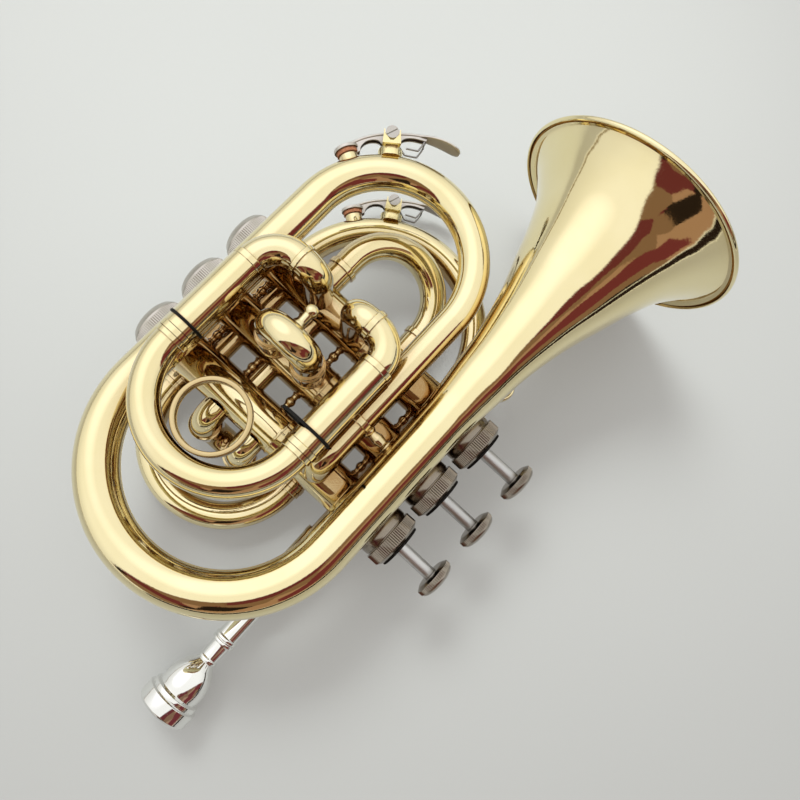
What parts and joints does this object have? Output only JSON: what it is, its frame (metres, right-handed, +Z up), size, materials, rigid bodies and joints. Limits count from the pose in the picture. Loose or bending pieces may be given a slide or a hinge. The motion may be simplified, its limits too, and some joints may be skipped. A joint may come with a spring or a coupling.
{
  "type": "pocket trumpet",
  "caption": "Compact lacquered-brass pocket trumpet with its tubing wound in tight loops, pressing valves, pull slides, water keys and mouthpiece.",
  "frame": {"origin": "centre of the bounding box in X and Y, on the ground it lies on", "axes": "+X from the mouthpiece to the bell along the bell's axis, +Y from the finger buttons to the bottom caps along the valves, +Z up, which is the player's left when the instrument is held up to play"},
  "size_m": [0.2868, 0.1744, 0.1068],
  "materials": {
    "lacquered_brass": "polished, clear lacquer",
    "nickel_plate": "bright nickel, knurled rings",
    "satin_steel": "satin",
    "silver_plate": "polished silver plate",
    "spring_steel": "plain spring wire",
    "black_felt": "dense felt",
    "black_rubber": "matt",
    "key_cork": "cut cork"
  },
  "bodies": {
    "trumpet": {"bell_flare": "lacquered_brass", "bell_rear_bow": "lacquered_brass", "bell_bottom_run": "lacquered_brass", "bell_front_bow": "lacquered_brass", "bell_return_run": "lacquered_brass", "bell_brace": "lacquered_brass", "leadpipe": "lacquered_brass", "mouthpiece_receiver": "lacquered_brass", "leadpipe_front_bow": "lacquered_brass", "leadpipe_back_run": "lacquered_brass", "valve_feed_run": "lacquered_brass", "valve_feed_bow": "lacquered_brass", "valve_casing_1": "lacquered_brass", "valve_casing_2": "lacquered_brass", "valve_casing_3": "lacquered_brass", "third_elbow_lower": "lacquered_brass", "third_elbow_upper": "lacquered_brass", "second_sleeve_upper": "lacquered_brass", "second_sleeve_lower": "lacquered_brass", "first_elbow_upper": "lacquered_brass", "first_elbow_lower": "lacquered_brass", "pinky_hook": "lacquered_brass", "leadpipe_brace": "lacquered_brass", "back_run_brace": "lacquered_brass", "water_key_saddle_1": "lacquered_brass", "water_key_saddle_2": "lacquered_brass", "top_cap_1": "nickel_plate", "top_cap_2": "nickel_plate", "top_cap_3": "nickel_plate", "bottom_cap_1": "nickel_plate", "bottom_cap_2": "nickel_plate", "bottom_cap_3": "nickel_plate", "cap_felt_1": "black_felt", "cap_felt_2": "black_felt", "cap_felt_3": "black_felt", "slide_band_lower": "black_rubber", "slide_band_upper": "black_rubber", "valve_spring_1": "spring_steel", "valve_spring_2": "spring_steel", "valve_spring_3": "spring_steel", "water_key_spring_1": "spring_steel", "water_key_spring_2": "spring_steel", "water_key_screw_1": "spring_steel", "water_key_screw_2": "spring_steel"},
    "valve_1": {"piston_1": "satin_steel", "finger_button_1": "nickel_plate"},
    "valve_2": {"piston_2": "satin_steel", "finger_button_2": "nickel_plate"},
    "valve_3": {"piston_3": "satin_steel", "finger_button_3": "nickel_plate"},
    "third_valve_slide": {"third_slide": "lacquered_brass", "finger_ring": "lacquered_brass"},
    "second_valve_slide": {"second_slide": "lacquered_brass"},
    "first_valve_slide": {"first_slide": "lacquered_brass"},
    "main_tuning_slide": {"tuning_slide": "lacquered_brass"},
    "mouthpiece": {"mouthpiece": "silver_plate"},
    "bell_water_key": {"water_key_lever_1": "silver_plate", "water_key_cork_1": "key_cork"},
    "leadpipe_water_key": {"water_key_lever_2": "silver_plate", "water_key_cork_2": "key_cork"}
  },
  "joints": [
    {"name": "valve_1_press", "type": "slide", "parent": "trumpet", "child": "valve_1", "axis": [0, 1, 0], "range_m": [0, 0.0162], "stiffness_N_per_m": 140, "springref_m": -0.01, "deforming": ["valve_spring_1"]},
    {"name": "valve_2_press", "type": "slide", "parent": "trumpet", "child": "valve_2", "axis": [0, 1, 0], "range_m": [0, 0.0162], "stiffness_N_per_m": 140, "springref_m": -0.01, "deforming": ["valve_spring_2"]},
    {"name": "valve_3_press", "type": "slide", "parent": "trumpet", "child": "valve_3", "axis": [0, 1, 0], "range_m": [0, 0.0162], "stiffness_N_per_m": 140, "springref_m": -0.01, "deforming": ["valve_spring_3"]},
    {"name": "third_slide_pull", "type": "slide", "parent": "trumpet", "child": "third_valve_slide", "axis": [-1, 0, 0], "range_m": [0, 0.024]},
    {"name": "second_slide_pull", "type": "slide", "parent": "trumpet", "child": "second_valve_slide", "axis": [0, 0, 1], "range_m": [0, 0.009]},
    {"name": "first_slide_pull", "type": "slide", "parent": "trumpet", "child": "first_valve_slide", "axis": [0, 0, -1], "range_m": [0, 0.005]},
    {"name": "tuning_slide_pull", "type": "slide", "parent": "trumpet", "child": "main_tuning_slide", "axis": [-1, 0, 0], "range_m": [0, 0.02]},
    {"name": "mouthpiece_pull", "type": "slide", "parent": "trumpet", "child": "mouthpiece", "axis": [-1, 0, 0], "range_m": [0, 0.03]},
    {"name": "bell_water_key_turn", "type": "hinge", "parent": "trumpet", "child": "bell_water_key", "pos_m": [0.09679, 0.06277, 0.0534], "axis": [0, 0, -1], "range_deg": [0, 12], "stiffness_Nm_per_rad": 0.06, "springref_deg": -28.65, "deforming": ["water_key_spring_1"]},
    {"name": "leadpipe_water_key_turn", "type": "hinge", "parent": "trumpet", "child": "leadpipe_water_key", "pos_m": [0.09279, 0.05235, 0.0084], "axis": [0, 0, -1], "range_deg": [0, 12], "stiffness_Nm_per_rad": 0.06, "springref_deg": -28.65, "deforming": ["water_key_spring_2"]}
  ]
}
